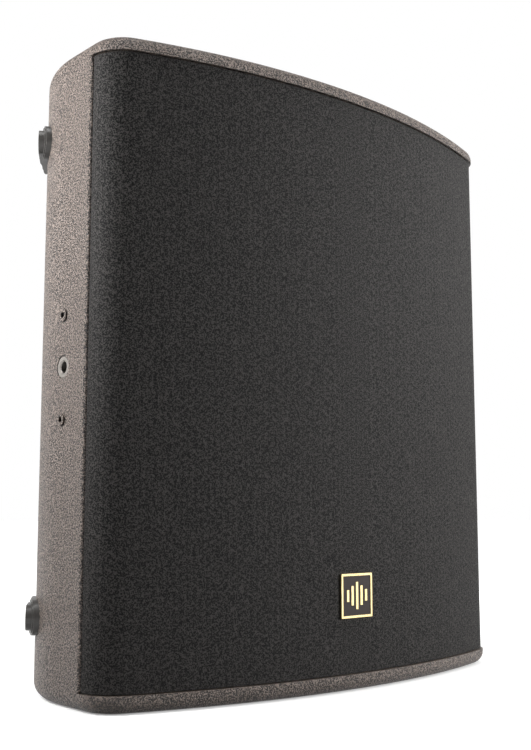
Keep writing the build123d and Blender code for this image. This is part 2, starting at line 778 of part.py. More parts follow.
# ---------------------------------------------------------------- coaxial driver, turned about its axis
# Profiles are (radius, distance behind the baffle's front face).
coil_former_r = 37.5
former_t = 0.6
winding_t = 1.2
pole_r = 36.4
gap_outer_r = 40.2
throat_r = 14.0
pole_bore = 18.0
ferrite_r = 78.0
ferrite_bore_r = 50.0
flange_front = -8.0
flange_r = 153.0
gasket_t = 2.0
ring_y = 78.0
top_plate_y = 84.0
magnet_y = 92.0
back_plate_y = 112.0
hf_y = 122.0
hf_r = 64.0
spider_outer = 76.0
spider_roll_r = 68.0      # the spider's corrugations end here
spokes = 6
window_outer_r = 130.0    # windows between the basket's spokes
window_inner_r = 84.0
window_front = 14.0
window_depth = 44.0
hex_r = 2.2               # socket of a driver screw's head
hex_depth = 2.4
head_h = 4.0


def turned(points):
    """A solid turned about the driver's axis from a closed profile of (radius, distance) points."""
    with BuildPart() as solid:
        with BuildSketch(Plane.XY.offset(driver_z)):
            with BuildLine():
                Polyline(*[(r, strip_front_y + y) for r, y in points], close=True)
            make_face()
        revolve(axis=driver_axis)
    return solid.part


def tube(inner_r, outer_r, front, back):
    """A plain ring between two radii and two distances."""
    return turned([(inner_r, front), (outer_r, front), (outer_r, back), (inner_r, back)])


def screw_ring(radius, front, back):
    """The driver screws' shanks or clearance holes."""
    with BuildPart() as ring:
        with BuildSketch(baffle_plane.offset(-front)):
            with PolarLocations(driver_screw_circle, driver_screw_count, start_angle=driver_screw_start):
                Circle(radius)
        extrude(amount=front - back)
    return ring.part


with BuildPart() as driver_gasket:
    add(tube(driver_cutout_r, flange_r, -gasket_t, 0.0))
    add(screw_ring(driver_screw_r, -gasket_t, 0.0), mode=Mode.SUBTRACT)
save(driver_gasket, "driver_gasket")

with BuildPart() as driver_basket:
    add(turned([(136.0, flange_front), (flange_r, flange_front), (flange_r, -gasket_t),
                (141.5, -gasket_t), (141.5, 6.0), (83.0, ring_y), (83.0, top_plate_y), (44.0, top_plate_y),
                (44.0, ring_y), (spider_outer, ring_y), (spider_outer, 66.0), (spider_roll_r, 66.0),
                (spider_roll_r, 64.0), (79.0, 64.0), (134.0, 4.0)]))
    for index in range(spokes):
        with BuildSketch(baffle_plane.offset(-window_front).rotated((0, 0, 360.0 / spokes * index))):
            with BuildLine():
                arc_out = CenterArc((0, 0), window_outer_r, -21, 42)
                arc_in = CenterArc((0, 0), window_inner_r, -17, 34)
                Line(arc_out @ 0, arc_in @ 0)
                Line(arc_out @ 1, arc_in @ 1)
            make_face()
        extrude(amount=-window_depth, mode=Mode.SUBTRACT)
    add(screw_ring(driver_screw_r, flange_front, -gasket_t), mode=Mode.SUBTRACT)
save(driver_basket, "driver_basket")

with BuildPart() as driver_screws:
    add(screw_ring(pan_head_r, flange_front - head_h, flange_front))
    add(screw_ring(driver_screw_r - 0.1, flange_front, baffle_t - 2.0))
    with BuildSketch(baffle_plane.offset(head_h - flange_front)):
        with PolarLocations(driver_screw_circle, driver_screw_count, start_angle=driver_screw_start):
            RegularPolygon(hex_r, 6)
    extrude(amount=-hex_depth, mode=Mode.SUBTRACT)
save(driver_screws, "driver_screws")

roll_r = 8.5
roll_centre = 128.0
surround_t = 0.8
surround_y = flange_front - surround_t
surround_outer_lip = 5.0
surround_inner_lip = 7.0

with BuildPart() as surround:
    with BuildSketch(Plane.XY.offset(driver_z)):
        with Locations((roll_centre, strip_front_y + flange_front)):
            Circle(roll_r + surround_t)
            Circle(roll_r, mode=Mode.SUBTRACT)
            Rectangle(4 * roll_r, 4 * roll_r, align=(Align.CENTER, Align.MIN), mode=Mode.SUBTRACT)
        with Locations((roll_centre + roll_r, strip_front_y + surround_y)):
            Rectangle(surround_outer_lip, surround_t, align=Align.MIN)
        with Locations((roll_centre - roll_r, strip_front_y + surround_y)):
            Rectangle(surround_inner_lip, surround_t, align=(Align.MAX, Align.MIN))
    revolve(axis=driver_axis)
save(surround, "surround")

cone_edge_r = roll_centre - roll_r
cone_t = 1.2
cone_neck_r = coil_former_r + former_t
cone_neck_y = 44.0
coil_over = 2.0           # the winding is this much longer than the gap at each end

with BuildPart() as woofer_cone:
    add(turned([(cone_edge_r - surround_inner_lip, flange_front), (cone_edge_r, flange_front),
                (cone_edge_r, flange_front + cone_t), (cone_edge_r - 5.0, flange_front + 2 * cone_t),
                (cone_neck_r, cone_neck_y + cone_t), (cone_neck_r, cone_neck_y - cone_t)]))
save(woofer_cone, "woofer_cone")

with BuildPart() as voice_coil:
    add(tube(coil_former_r, cone_neck_r, cone_neck_y - coil_over, magnet_y + coil_over))
    add(tube(cone_neck_r, cone_neck_r + winding_t, top_plate_y - coil_over, magnet_y + coil_over))
save(voice_coil, "voice_coil")

spider_y = 62.0
spider_waves = 5
spider_t = 1.0
wave_height = 1.0
wave_run = (spider_roll_r - cone_neck_r) / (2 * spider_waves)
crests = [(cone_neck_r + i * wave_run, spider_y + (wave_height if i % 2 else -wave_height))
          for i in range(2 * spider_waves)]
spider_front = crests + [(spider_roll_r, spider_y + wave_height), (spider_outer, spider_y + wave_height)]
spider_back = [(r, y + spider_t) for r, y in spider_front]

with BuildPart() as spider:
    add(turned(spider_front + spider_back[::-1]))
save(spider, "spider")

with BuildPart() as top_plate:
    add(tube(gap_outer_r, ferrite_r, top_plate_y, magnet_y))
save(top_plate, "top_plate")

with BuildPart() as magnet_ring:
    add(tube(ferrite_bore_r, ferrite_r, magnet_y, back_plate_y))
save(magnet_ring, "magnet_ring")

with BuildPart() as pole_yoke:
    add(turned([(pole_bore, top_plate_y), (pole_r, top_plate_y), (pole_r, back_plate_y),
                (ferrite_r, back_plate_y), (ferrite_r, hf_y), (pole_bore, hf_y)]))
save(pole_yoke, "pole_yoke")

horn_mouth_r = 80.0
horn_lip = 4.0
horn_lip_t = 2.0
horn_waist = (26.0, 44.0)
horn_waist_wall = 5.5
horn_front_y = strip_front_y - 9.0
horn_waist_y = strip_front_y + horn_waist[1]
horn_flare = [(0, -1), (1, -0.55)]         # directions of the flare at the throat and at the mouth
throat_y = strip_front_y + 90.0
pole_front_y = strip_front_y + top_plate_y
hf_front_y = strip_front_y + hf_y

with BuildPart() as hf_horn:
    with BuildSketch(Plane.XY.offset(driver_z)):
        with BuildLine():
            inner = Spline((throat_r, throat_y), (horn_waist[0], horn_waist_y),
                           (horn_mouth_r - horn_lip, horn_front_y), tangents=horn_flare)
            Polyline(inner @ 0, (throat_r, hf_front_y), (pole_bore, hf_front_y), (pole_bore, pole_front_y))
            outer = Spline((pole_bore, pole_front_y), (horn_waist[0] + horn_waist_wall, horn_waist_y),
                           (horn_mouth_r, horn_front_y + horn_lip_t), tangents=horn_flare)
            Line(outer @ 1, inner @ 1)
        make_face()
    revolve(axis=driver_axis)
save(hf_horn, "hf_horn")

dome_r = 38.0
dome_rise = 9.0
plug_y = hf_y + 30.0
dome_sphere = (dome_r**2 + dome_rise**2) / (2 * dome_rise)
dome_gap = 1.4
dome_t = 0.5
plug_r = dome_r - 0.6
plug_tip_r = 6.0
plug_flange_t = 10.0
hf_magnet_gap = 3.0
hf_coil_length = 12.0
dome_flat = 2.4           # flat rim outside the dome
cover_t = 4.0
cover_depth = 24.0
cover_chamfer = 6.0

with BuildPart() as hf_phase_plug:
    with BuildSketch(Plane.XY.offset(driver_z)):
        with BuildLine():
            Polyline((throat_r, hf_front_y), (hf_r, hf_front_y), (hf_r, hf_front_y + plug_flange_t),
                     (plug_r, hf_front_y + plug_flange_t), (plug_r, strip_front_y + plug_y - 1),
                     (plug_tip_r, strip_front_y + plug_y + dome_rise - 2), close=True)
        make_face()
    revolve(axis=driver_axis)
save(hf_phase_plug, "hf_phase_plug")

with BuildPart() as hf_magnet:
    add(tube(dome_r + hf_magnet_gap, hf_r, hf_y + plug_flange_t, plug_y))
save(hf_magnet, "hf_magnet")

with BuildPart() as hf_diaphragm:
    dome_rim = strip_front_y + plug_y + dome_gap
    dome_centre = (0, dome_rim + dome_rise - dome_sphere)
    half_angle = degrees(asin(dome_r / dome_sphere))
    with BuildSketch(Plane.XY.offset(driver_z)):
        with BuildLine():
            inner = CenterArc(dome_centre, dome_sphere, 90 - half_angle, half_angle)
            outer = CenterArc(dome_centre, dome_sphere + dome_t, 90 - half_angle, half_angle)
            Line(inner @ 1, outer @ 1)
            coil_outer = dome_r + former_t
            flat_outer = dome_r + dome_flat
            Polyline(outer @ 0, (flat_outer, (outer @ 0).Y), (flat_outer, dome_rim), (coil_outer, dome_rim),
                     (coil_outer, dome_rim - hf_coil_length), (dome_r, dome_rim - hf_coil_length), inner @ 0)
        make_face()
    revolve(axis=driver_axis)
save(hf_diaphragm, "hf_diaphragm")

with BuildPart() as hf_rear_cover:
    cover_back = plug_y + cover_depth
    add(turned([(0, cover_back - cover_t), (0, cover_back), (hf_r - cover_chamfer, cover_back),
                (hf_r, cover_back - cover_chamfer), (hf_r, plug_y), (hf_r - cover_t, plug_y),
                (hf_r - cover_t, cover_back - 2 * cover_t), (hf_r - 2 * cover_t, cover_back - cover_t)]))
save(hf_rear_cover, "hf_rear_cover")

terminal_y = strip_front_y + ring_y
terminal_top = driver_z - 83.0
terminal_size = (28.0, 14.0, 13.0)
tab_size = (6.3, 0.8, 8.0)
tab_x = 8.0

with BuildPart() as driver_terminals:
    with BuildSketch(Plane.XY.offset(terminal_top)):
        with Locations((0, terminal_y)):
            Rectangle(terminal_size[0], terminal_size[1], align=(Align.CENTER, Align.MIN))
    extrude(amount=-terminal_size[2])
    with BuildSketch(Plane.XY.offset(terminal_top - terminal_size[2])):
        with Locations(*[(x, terminal_y + terminal_size[1] / 2) for x in (-tab_x, tab_x)]):
            Rectangle(tab_size[0], tab_size[1])
    extrude(amount=-tab_size[2])
save(driver_terminals, "driver_terminals")

# ---------------------------------------------------------------- crossover on the back board
board_size = (76.0, 176.0)
board_z = 306.0
board_gap = 12.0
board_thickness = 2.0
spacer_inset = 6.0
spacer_r = 4.0
bobbin_t = 1.5
capacitor_r = 9.0
capacitor_length = 44.0
capacitor_bottom = board_z - 30.0
capacitor_places = (-30.0, -6.0)
resistor_size = (9.5, 26.0, 9.5)
resistor_z = -68.0        # from the board's centre
resistor_places = (-24.0, 0.0, 24.0)
board_face_y = back_y - board_t - board_gap - board_thickness

with BuildPart() as board_spacers:
    with BuildSketch(Plane(origin=(0, back_y - board_t, board_z), x_dir=(1, 0, 0), z_dir=(0, -1, 0))):
        with GridLocations(board_size[0] - 2 * spacer_inset, board_size[1] - 2 * spacer_inset, 2, 2):
            Circle(spacer_r)
    extrude(amount=board_gap)
save(board_spacers, "board_spacers")

board_plane = Plane(origin=(0, board_face_y, board_z), x_dir=(1, 0, 0), z_dir=(0, -1, 0))

with BuildPart() as crossover_board:
    with BuildSketch(board_plane):
        Rectangle(*board_size)
    extrude(amount=-board_thickness)
save(crossover_board, "crossover_board")


def coil(centre, outer_r, inner_r, coil_height):
    """An air-cored choke: a winding on a flanged bobbin, standing on the board."""
    with BuildPart() as choke:
        with BuildSketch(board_plane):
            with Locations(centre):
                Circle(outer_r)
        extrude(amount=bobbin_t)
        with BuildSketch(board_plane):
            with Locations(centre):
                Circle(outer_r - bobbin_t)
        extrude(amount=coil_height)
        with BuildSketch(board_plane.offset(coil_height)):
            with Locations(centre):
                Circle(outer_r)
        extrude(amount=-bobbin_t)
        with BuildSketch(board_plane):
            with Locations(centre):
                Circle(inner_r)
        extrude(amount=coil_height, mode=Mode.SUBTRACT)
    return choke


save(coil((-6, 56), 27.0, 10.0, 24.0), "woofer_choke")
save(coil((18, 6), 15.0, 5.0, 18.0), "tweeter_choke")

with BuildPart() as capacitors:
    for x in capacitor_places:
        with BuildSketch(Plane.XY.offset(capacitor_bottom)):
            with Locations((x, board_face_y - capacitor_r)):
                Circle(capacitor_r)
        extrude(amount=capacitor_length)
    fillet(capacitors.edges().filter_by(GeomType.CIRCLE), 1.2)
save(capacitors, "capacitors")

with BuildPart() as resistors:
    for x in resistor_places:
        with BuildSketch(board_plane):
            with Locations((x, resistor_z)):
                Rectangle(resistor_size[0], resistor_size[1])
        extrude(amount=resistor_size[2])
    fillet(resistors.edges().filter_by(Axis.Y), 0.8)
save(resistors, "resistors")


# ---------------------------------------------------------------- internal leads
def lead(points, diameter):
    """A jacketed lead along straight runs joined by arcs as large as the runs allow."""
    route = [Vector(*point) for point in points]
    runs = [after - before for before, after in zip(route, route[1:])]
    radii = []
    for before, after in zip(runs, runs[1:]):
        turn = before.get_angle(after)
        radii.append(0.45 * min(before.length, after.length) / tan(radians(turn / 2)))
    print("radii", [round(r, 1) for r in radii], "runs", [round(run.length, 1) for run in runs])
    with BuildPart() as cable:
        with BuildLine() as path:
            FilletPolyline(*route, radius=radii)
        with BuildSketch(Plane(origin=path.line @ 0, z_dir=path.line % 0)):
            Circle(diameter / 2)
        sweep()
    length = sum(edge.length for edge in path.edges())
    section = pi * diameter**2 / 4
    print("length", round(length, 1), "volume ratio", round(cable.part.volume / (section * length), 4))
    return cable


hf_cover_y = strip_front_y + cover_back
socket_rear_y = back_y - socket_length
terminal_rear_y = terminal_y + terminal_size[1]

input_socket_z = plate_z + socket_pitch / 2
tab_z = terminal_top - terminal_size[2] / 2
lead_d = 5.0

save(lead([(14, board_face_y, 252), (14, 130, 252), (8, 108, 236), (2, 88, 208), (-4, 64, 180),
           (-5, 34, 164), (-1, 6, 157.5), (0, terminal_rear_y + 14, tab_z), (0, terminal_rear_y, tab_z)],
          lead_d), "woofer_lead")
save(lead([(24, board_face_y, 334), (24, 130, 334), (19, 108, 322), (9, 93, 298), (1, 80, 276),
           (0, 70, 268), (0, hf_cover_y, 268)], lead_d), "tweeter_lead")
save(lead([(0, socket_rear_y, input_socket_z), (0, 126, input_socket_z), (-5, 108, 178),
           (-12, 101, 200), (-16, 110, 224), (-16, 130, 238), (-16, board_face_y, 238)],
          lead_d), "input_lead")
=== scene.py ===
"""Looks for the PA speaker cabinet: finishes for every CAD node, and the open mesh cloth over the grille.

Metres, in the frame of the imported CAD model: +Z up, the grille faces -Y, the origin is mid-base.
"""
import json
from math import atan2, cos, pi, radians, sin, sqrt

import bpy
import numpy as np
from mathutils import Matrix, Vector


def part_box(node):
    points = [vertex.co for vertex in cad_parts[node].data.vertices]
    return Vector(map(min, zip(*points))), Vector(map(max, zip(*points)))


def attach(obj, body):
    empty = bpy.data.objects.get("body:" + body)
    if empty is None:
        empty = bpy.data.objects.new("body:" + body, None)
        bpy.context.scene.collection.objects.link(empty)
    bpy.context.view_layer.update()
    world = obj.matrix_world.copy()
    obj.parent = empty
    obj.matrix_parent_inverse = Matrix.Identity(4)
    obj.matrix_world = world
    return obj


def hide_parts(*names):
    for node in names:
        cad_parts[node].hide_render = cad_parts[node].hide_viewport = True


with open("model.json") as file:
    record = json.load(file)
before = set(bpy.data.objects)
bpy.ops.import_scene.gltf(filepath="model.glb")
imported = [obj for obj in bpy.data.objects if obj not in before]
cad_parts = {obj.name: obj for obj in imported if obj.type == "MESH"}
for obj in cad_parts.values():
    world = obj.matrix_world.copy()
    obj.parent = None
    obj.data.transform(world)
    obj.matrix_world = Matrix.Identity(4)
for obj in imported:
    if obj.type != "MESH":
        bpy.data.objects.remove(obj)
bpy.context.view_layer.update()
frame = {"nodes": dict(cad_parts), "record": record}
MM = 0.001

# ---------------------------------------------------------------- camera
# The place and the angles come from the photograph's perspective.
# The lens is for a 36 mm sensor on the long side.
CAMERA_PLACE = Vector((-0.6135, -0.7822, 0.1393))
CAMERA_YAW = 40.71        # degrees from +Y towards +X
CAMERA_PITCH = 7.22       # degrees above level
CAMERA_LENS = 51.4

camera = bpy.data.objects.new("camera", bpy.data.cameras.new("camera"))
camera.data.lens = CAMERA_LENS
camera.data.sensor_width = 36.0
camera.data.clip_start = 0.01
camera.location = CAMERA_PLACE
camera.rotation_euler = (radians(90 + CAMERA_PITCH), 0, radians(-CAMERA_YAW))
bpy.context.scene.collection.objects.link(camera)
bpy.context.scene.camera = camera
bpy.context.scene.view_settings.view_transform = "Standard"


# ---------------------------------------------------------------- light and floor
# Name, place, target, size in metres and power in watts.
LAMPS = (
    ("key", (0.9, -1.35, 0.68), (0.08, -0.15, 0.3), (0.8, 0.8), 30.0),
    ("right_side", (1.3, -0.45, 0.8), (0.2, -0.12, 0.47), (0.3, 0.3), 3.4),
    ("left_top", (-0.6, 0.05, 0.49), (-0.21, -0.08, 0.38), (0.25, 0.25), 5.2),
    ("left_side", (-1.3, 0.0, 0.8), (-0.2, -0.1, 0.36), (0.22, 0.5), 1.7),
    ("back_left", (-0.9, 0.9, 0.5), (-0.15, 0.05, 0.25), (0.6, 0.8), 1.8),
    ("overhead", (-0.1, -0.4, 2.6), (-0.1, -0.4, 0.0), (1.2, 1.2), 36.0),
)
HORIZON_FADE = (-0.06, -0.015)   # the room goes dark over this range of the direction's height
AHEAD_FADE = (0.5, 0.85)         # and full over this range of the direction's part along BRIGHT_WAY
BRIGHT_WAY = (sin(radians(CAMERA_YAW)), cos(radians(CAMERA_YAW)), 0.0)
STRENGTH_BELOW = 0.04
STRENGTH_ASIDE = 0.15
FLOOR_SIZE = 24.0
FLOOR_GLOW_REACH = (0.3, 0.9)    # metres from the middle, over which the floor's own light grows
FLOOR_GLOW = (0.25, 0.85)


def area_light(name, place, target, size, power):
    """A soft rectangular lamp that faces the target and is not seen by the camera."""
    lamp = bpy.data.objects.new(name, bpy.data.lights.new(name, "AREA"))
    lamp.data.shape = "RECTANGLE"
    lamp.data.size, lamp.data.size_y = size
    lamp.data.energy = power
    lamp.location = place
    lamp.rotation_euler = (Vector(target) - Vector(place)).to_track_quat("-Z", "Y").to_euler()
    lamp.visible_camera = False
    bpy.context.scene.collection.objects.link(lamp)


def studio():
    """A room that is bright one way, dim elsewhere and dark below, but white to the camera;
    the lamps; and a pale floor that also glows by itself, a painted light that grows away from the middle.
    """
    world = bpy.data.worlds.new("studio")
    bpy.context.scene.world = world
    world.use_nodes = True
    nodes, links = world.node_tree.nodes, world.node_tree.links

    def rise_to_one(value, span, start):
        node = nodes.new("ShaderNodeMapRange")
        links.new(value, node.inputs["Value"])
        for name, number in zip(("From Min", "From Max", "To Min", "To Max"), (*span, start, 1.0)):
            node.inputs[name].default_value = number
        return node.outputs["Result"]

    direction = nodes.new("ShaderNodeTexCoord").outputs["Generated"]
    axes = nodes.new("ShaderNodeSeparateXYZ")
    links.new(direction, axes.inputs["Vector"])
    ahead = nodes.new("ShaderNodeVectorMath")
    ahead.operation = "DOT_PRODUCT"
    links.new(direction, ahead.inputs[0])
    ahead.inputs[1].default_value = BRIGHT_WAY
    strength = nodes.new("ShaderNodeMath")
    strength.operation = "MULTIPLY"
    links.new(rise_to_one(axes.outputs["Z"], HORIZON_FADE, STRENGTH_BELOW), strength.inputs[0])
    links.new(rise_to_one(ahead.outputs["Value"], AHEAD_FADE, STRENGTH_ASIDE), strength.inputs[1])
    seen = nodes.new("ShaderNodeMath")
    seen.operation = "MAXIMUM"
    links.new(strength.outputs["Value"], seen.inputs[0])
    links.new(nodes.new("ShaderNodeLightPath").outputs["Is Camera Ray"], seen.inputs[1])
    links.new(seen.outputs["Value"], nodes["Background"].inputs["Strength"])
    nodes["Background"].inputs["Color"].default_value = (1.0, 1.0, 1.0, 1.0)

    for lamp in LAMPS:
        area_light(*lamp)

    bpy.ops.mesh.primitive_plane_add(size=FLOOR_SIZE)
    floor = bpy.context.object
    floor.name = "floor"
    floor.visible_diffuse = False
    finish = Finish("floor_paint_and_glow", (0.8, 0.8, 0.8), roughness=0.8,
                    **{"Emission Color": (1.0, 1.0, 1.0, 1.0)})
    finish.tint(finish.noise(3.0), 0.01)
    # Painted light: the floor glows by itself, faintly near the middle and more further out, so it reads
    # white away from the cabinet.
    reach = finish.node("ShaderNodeVectorMath", {0: finish.place}, operation="LENGTH").outputs["Value"]
    glow = finish.spread(reach, *FLOOR_GLOW_REACH, *FLOOR_GLOW)
    finish.tree.links.new(glow, finish.shader.inputs["Emission Strength"])
    floor.data.materials.append(finish.material)


# ---------------------------------------------------------------- finishes
class Finish:
    """A procedural material: one Principled shader, and helpers that add grain to it."""

    def __init__(self, name, color, roughness, metallic=0.0, **sockets):
        self.material = bpy.data.materials.new(name)
        self.material.use_nodes = True
        self.tree = self.material.node_tree
        self.shader = self.tree.nodes["Principled BSDF"]
        self.color = color
        self.roughness = roughness
        self.shader.inputs["Base Color"].default_value = (*color, 1.0)
        self.shader.inputs["Roughness"].default_value = roughness
        self.shader.inputs["Metallic"].default_value = metallic
        for name, value in sockets.items():
            self.shader.inputs[name].default_value = value
        self.place = self.node("ShaderNodeTexCoord").outputs["Object"]
        self.relief = None

    def node(self, kind, links=None, **settings):
        """A new node, with its inputs linked to sockets or set to values."""
        new = self.tree.nodes.new(kind)
        for key, value in settings.items():
            setattr(new, key, value)
        for key, value in (links or {}).items():
            if isinstance(value, bpy.types.NodeSocket):
                self.tree.links.new(value, new.inputs[key])
            else:
                new.inputs[key].default_value = value
        return new

    def noise(self, scale, detail=2.0, stretch=None, roughness=0.5):
        """Noise at a number of features per metre, drawn out along an axis if stretch is given."""
        place = self.place
        if stretch:
            place = self.node("ShaderNodeMapping", {"Vector": place, "Scale": stretch}).outputs["Vector"]
        return self.node("ShaderNodeTexNoise", {
            "Vector": place, "Scale": scale, "Detail": detail, "Roughness": roughness}).outputs["Fac"]

    def math(self, operation, first, second=0.0):
        return self.node("ShaderNodeMath", {0: first, 1: second}, operation=operation).outputs[0]

    def spread(self, value, low, high, to_low=0.0, to_high=1.0):
        """The value stretched from one range to another."""
        return self.node("ShaderNodeMapRange", {
            "Value": value, "From Min": low, "From Max": high, "To Min": to_low, "To Max": to_high},
            clamp=True).outputs["Result"]

    def blend(self, factor, first, second):
        """A colour that goes from first to second with the factor."""
        mix = self.node("ShaderNodeMix", {"Factor": factor}, data_type="RGBA")
        for socket, value in ((mix.inputs["A"], first), (mix.inputs["B"], second)):
            if isinstance(value, bpy.types.NodeSocket):
                self.tree.links.new(value, socket)
            else:
                socket.default_value = (*value, 1.0)
        return mix.outputs["Result"]

    def paint(self, color):
        self.tree.links.new(color, self.shader.inputs["Base Color"])

    def tint(self, factor, amount):
        """The base colour made lighter and darker by amount, as the factor goes from 0.3 to 0.7."""
        dark = tuple(c * (1.0 - amount) for c in self.color)
        light = tuple(min(1.0, c * (1.0 + amount)) for c in self.color)
        self.paint(self.blend(self.spread(factor, 0.3, 0.7), dark, light))

    def gloss(self, factor, low, high):
        """Roughness that goes from low to high with the factor."""
        self.tree.links.new(self.spread(factor, 0.3, 0.7, low, high), self.shader.inputs["Roughness"])

    def bump(self, height, depth, strength=1.0):
        """Relief of that depth in metres, on top of any that is there."""
        links = {"Height": height, "Distance": depth, "Strength": strength}
        if self.relief:
            links["Normal"] = self.relief
        self.relief = self.node("ShaderNodeBump", links).outputs["Normal"]
        self.tree.links.new(self.relief, self.shader.inputs["Normal"])


def textured_paint():
    """Grey-brown sprayed paint that dries in a fine pebble, with painted shade in the pebble's hollows."""
    finish = Finish("textured_paint", (0.140, 0.113, 0.098), roughness=0.45, **{"Specular IOR Level": 0.35})
    pebble = finish.noise(850.0, detail=1.0)
    grain = finish.noise(1700.0, detail=2.0)
    blotch = finish.noise(12.0, detail=3.0)
    relief = finish.math("ADD", finish.math("MULTIPLY", pebble, 0.7), finish.math("MULTIPLY", grain, 0.3))
    # Painted shade: the colour is far darker where the pebble's relief is low, standing in for shadow in its
    # hollows; the blotch is a slow drift in the paint's own tone.
    low = finish.blend(finish.spread(blotch, 0.3, 0.7), (0.009, 0.006, 0.005), (0.012, 0.009, 0.007))
    high = finish.blend(finish.spread(blotch, 0.3, 0.7), (0.250, 0.201, 0.173), (0.272, 0.220, 0.190))
    finish.paint(finish.blend(finish.spread(relief, 0.465, 0.57), low, high))
    finish.gloss(grain, 0.34, 0.52)
    finish.bump(relief, 1.6 * MM, 1.0)
    return finish.material


def plywood():
    """Bare birch plywood, with its grain upright."""
    finish = Finish("raw_plywood", (0.60, 0.46, 0.31), roughness=0.6)
    figure = finish.noise(60.0, detail=5.0, stretch=(1.0, 1.0, 0.06))
    finish.tint(figure, 0.14)
    finish.bump(finish.noise(900.0, stretch=(1.0, 1.0, 0.05)), 0.1 * MM, 0.5)
    return finish.material


def plain_grain(name, color, roughness, scale, depth, shade=0.06, metallic=0.0, **sockets):
    """A moulded, cast or coated surface: fine grain in relief, and a slow drift in colour and gloss."""
    finish = Finish(name, color, roughness, metallic, **sockets)
    grain = finish.noise(scale, detail=3.0)
    drift = finish.noise(25.0, detail=4.0)
    finish.tint(drift, shade)
    finish.gloss(drift, roughness * 0.85, min(1.0, roughness * 1.15))
    finish.bump(grain, depth, 0.6)
    return finish.material


def brushed(name, color, roughness, stretch, metallic=1.0):
    """Metal with fine lines drawn along one axis."""
    finish = Finish(name, color, roughness, metallic)
    lines = finish.noise(1500.0, detail=2.0, stretch=stretch)
    finish.tint(lines, 0.10)
    finish.gloss(lines, roughness * 0.8, roughness * 1.3)
    finish.bump(lines, 0.03 * MM, 0.4)
    return finish.material


def rubber():
    finish = Finish("foot_rubber", (0.045, 0.042, 0.039), roughness=0.3)
    drift = finish.noise(40.0, detail=4.0)
    finish.tint(drift, 0.15)
    finish.gloss(drift, 0.36, 0.46)
    finish.bump(finish.noise(1800.0, detail=2.0), 0.08 * MM, 0.6)
    return finish.material


def felt(name, color, scale=1500.0):
    """Fibre felt or foam: soft, matt and uneven."""
    finish = Finish(name, color, roughness=0.95, **{"Sheen Weight": 0.3})
    finish.tint(finish.noise(scale, detail=4.0), 0.25)
    finish.bump(finish.noise(scale, detail=4.0), 0.8 * MM, 0.8)
    return finish.material


def mesh_cloth():
    """Black acoustic cloth, with painted shade over the holes of the steel behind it: its colour is darker
    there.
    """
    finish = Finish("grille_mesh_cloth", (0.030, 0.029, 0.029), roughness=0.7,
                    **{"Specular IOR Level": 0.12, "Sheen Weight": 0.02, "Sheen Roughness": 0.5})
    yarn = finish.noise(1900.0, detail=2.0)
    lump = finish.math("ADD", finish.math("MULTIPLY", finish.noise(1350.0, detail=1.0), 0.5),
                       finish.math("MULTIPLY", finish.noise(860.0, detail=1.0), 0.5))
    over_hole = finish.node("ShaderNodeAttribute", attribute_name="hole").outputs["Fac"]
    # Painted shade: over the holes the cloth's colour is darker than where the steel backs it, standing in
    # for the dark hollow behind.
    backed = finish.blend(finish.spread(lump, 0.47, 0.55), (0.001, 0.0009, 0.0009), (0.050, 0.0465, 0.0445))
    painted_hollow_shade = finish.blend(finish.spread(lump, 0.47, 0.55), (0.001, 0.0009, 0.0009), (0.026, 0.024, 0.023))
    finish.paint(finish.blend(finish.spread(over_hole, 0.1, 0.7), backed, painted_hollow_shade))
    finish.bump(yarn, 0.3 * MM, 0.8)
    return finish.material


def winding(name, color):
    """Enamelled wire in close turns."""
    finish = Finish(name, color, roughness=0.3, metallic=1.0)
    turns = finish.node("ShaderNodeTexWave", {"Vector": finish.place, "Scale": 220.0, "Distortion": 0.3},
                        bands_direction="Y").outputs["Fac"]
    finish.tint(turns, 0.3)
    finish.bump(turns, 0.3 * MM, 0.8)
    return finish.material


def paper():
    finish = Finish("paper_cone", (0.06, 0.058, 0.056), roughness=0.8)
    fibre = finish.noise(500.0, detail=6.0, roughness=0.7)
    finish.tint(fibre, 0.3)
    finish.bump(fibre, 0.2 * MM, 0.7)
    return finish.material


